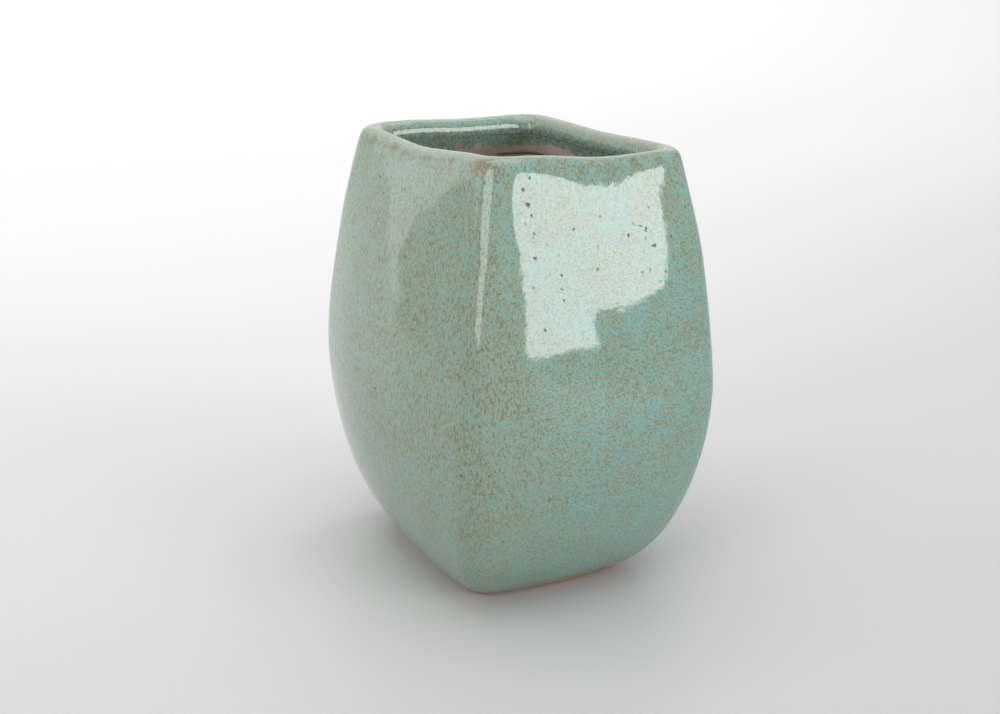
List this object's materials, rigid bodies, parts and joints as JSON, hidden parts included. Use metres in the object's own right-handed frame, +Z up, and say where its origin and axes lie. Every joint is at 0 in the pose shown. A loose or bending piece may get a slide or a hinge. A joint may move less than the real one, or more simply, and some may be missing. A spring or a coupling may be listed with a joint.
{
  "type": "brush holder pot",
  "caption": "Soft-square stoneware brush holder with a swelling belly, narrow flat foot, rounded wavy lip and speckled green glaze, made to stand brushes upright.",
  "frame": {"origin": "centre of the flat underside of the bottom slab, on the surface the pot stands on", "axes": "+Z up through the mouth; X across the narrower width and Y across the wider one, square to the four sides at half height"},
  "size_m": [0.0958, 0.1147, 0.1319],
  "materials": {
    "bare_clay": "bare fired stoneware, pinkish brown, faint throwing lines",
    "foot_clay": "bare fired stoneware, toasted brown, dry and slightly sandy",
    "speckled_glaze": "glossy grey-green glaze broken into turquoise and olive-brown specks",
    "thin_lip_glaze": "thin glossy greyish glaze, running in fine streaks off the lip",
    "inner_glaze": "glossy blue-green glaze fading out down the inside"
  },
  "bodies": {
    "root": {"stoneware_wall": "bare_clay", "bottom_slab": "foot_clay", "outer_glaze": "speckled_glaze", "lip_glaze": "thin_lip_glaze", "inner_glaze_band": "inner_glaze"}
  },
  "joints": []
}
